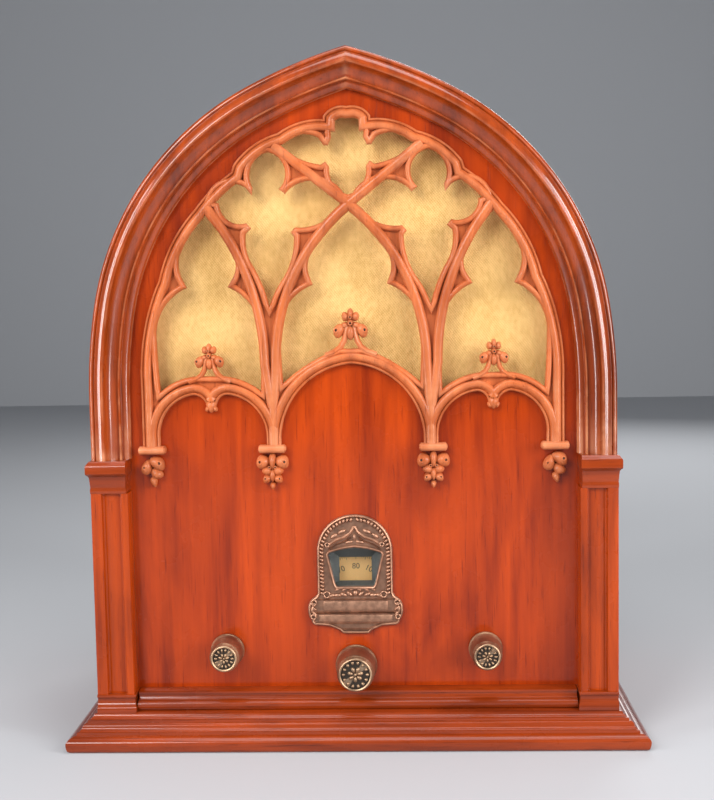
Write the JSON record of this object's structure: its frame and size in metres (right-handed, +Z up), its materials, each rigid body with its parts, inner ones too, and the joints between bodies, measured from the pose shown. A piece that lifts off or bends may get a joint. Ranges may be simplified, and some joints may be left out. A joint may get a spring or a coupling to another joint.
{
  "type": "cathedral radio",
  "caption": "Table radio in a pointed-arch wooden cabinet with carved Gothic grille, gold cloth, dial window, turning knobs, open back, chassis and speaker.",
  "frame": {"origin": "middle of the footprint, on the surface the base stands on", "axes": "+X to the right seen from the front, +Y to the back, +Z up"},
  "size_m": [0.372, 0.24, 0.4445],
  "materials": {
    "panel_wood": "high-gloss red-brown lacquer over figured veneer",
    "molding_wood": "dark red-brown gloss lacquer, worn at the edges",
    "carved_wood": "satin stained carving",
    "plywood": "bare plywood",
    "grille_cloth": "woven gold speaker cloth",
    "black_iron": "black crackle paint",
    "cone_paper": "pressed felted paper",
    "lamination_steel": "stacked laminations",
    "antique_copper": "antiqued copper relief, dark in the hollows",
    "antique_bronze": "antiqued bronze relief, dark in the hollows",
    "window_glass": "clear",
    "dial_mask_metal": "grey paint",
    "dial_celluloid": "amber translucent celluloid",
    "lamp_glass": "clear bulb",
    "chassis_steel": "cadmium plate, dulled",
    "shaft_steel": "plain turned",
    "bakelite": "brown-black moulded",
    "grommet_rubber": "matt",
    "plate_aluminium": "sheet",
    "can_aluminium": "spun, dulled",
    "tube_glass": "clear bulb, silvered top, black base"
  },
  "bodies": {
    "cabinet": {"base_board": "molding_wood", "base_molding_front": "molding_wood", "base_molding_left": "molding_wood", "base_molding_right": "molding_wood", "base_rail_rear": "molding_wood", "cabinet_shell_left": "panel_wood", "cabinet_shell_right": "panel_wood", "front_panel": "panel_wood", "arch_molding_left": "molding_wood", "arch_molding_right": "molding_wood", "pilaster_left": "molding_wood", "pilaster_right": "molding_wood", "capital_left": "molding_wood", "capital_right": "molding_wood", "plinth_left": "molding_wood", "plinth_right": "molding_wood", "sill_molding": "molding_wood", "tracery": "carved_wood", "grille_cloth": "grille_cloth", "speaker_baffle": "plywood", "speaker_basket": "black_iron", "field_coil_pot": "black_iron", "output_transformer": "lamination_steel", "escutcheon": "antique_copper", "dial_glass": "window_glass", "dial_mask": "dial_mask_metal", "dial_lamp": "lamp_glass", "lamp_bracket": "chassis_steel", "volume_control": "bakelite", "tone_control": "bakelite", "chassis_pan": "chassis_steel", "cord_grommet": "grommet_rubber", "terminal_strip": "bakelite", "gang_frame": "chassis_steel", "gang_stator": "plate_aluminium", "power_transformer": "black_iron", "rectifier_tube": "tube_glass", "output_tube": "tube_glass", "detector_tube": "tube_glass", "tube_shield_1": "can_aluminium", "tube_shield_2": "can_aluminium", "tube_shield_3": "can_aluminium", "filter_can_1": "can_aluminium", "filter_can_2": "can_aluminium", "coil_can_1": "can_aluminium", "coil_can_2": "can_aluminium", "chassis_bolt_1": "shaft_steel", "chassis_bolt_2": "shaft_steel", "chassis_bolt_3": "shaft_steel", "chassis_bolt_4": "shaft_steel"},
    "tuning_rotor": {"gang_rotor": "plate_aluminium", "dial_disc": "dial_celluloid"},
    "tuning_control": {"tuning_shaft": "shaft_steel", "tuning_knob": "antique_bronze"},
    "volume_spindle": {"volume_shaft": "shaft_steel", "volume_knob": "antique_bronze"},
    "tone_spindle": {"tone_shaft": "shaft_steel", "tone_knob": "antique_bronze"},
    "cone": {"speaker_cone": "cone_paper"}
  },
  "joints": [
    {"name": "tuning_turn", "type": "hinge", "parent": "cabinet", "child": "tuning_rotor", "pos_m": [0, -0.07, 0.088], "axis": [0, 1, 0], "range_deg": [-90, 90]},
    {"name": "tuning_knob_turn", "type": "hinge", "parent": "cabinet", "child": "tuning_control", "pos_m": [0, -0.098, 0.048], "axis": [0, 1, 0], "range_deg": [-640, 640]},
    {"name": "volume_turn", "type": "hinge", "parent": "cabinet", "child": "volume_spindle", "pos_m": [-0.0843, -0.098, 0.0585], "axis": [0, 1, 0], "range_deg": [-140, 140]},
    {"name": "tone_turn", "type": "hinge", "parent": "cabinet", "child": "tone_spindle", "pos_m": [0.0843, -0.098, 0.0585], "axis": [0, 1, 0], "range_deg": [-140, 140]},
    {"name": "cone_travel", "type": "slide", "parent": "cabinet", "child": "cone", "axis": [0, 1, 0], "range_m": [-0.001, 0.001], "stiffness_N_per_m": 2000}
  ],
  "couplings": [
    {"joint": "tuning_knob_turn", "follows": "tuning_turn", "ratio": -7}
  ]
}
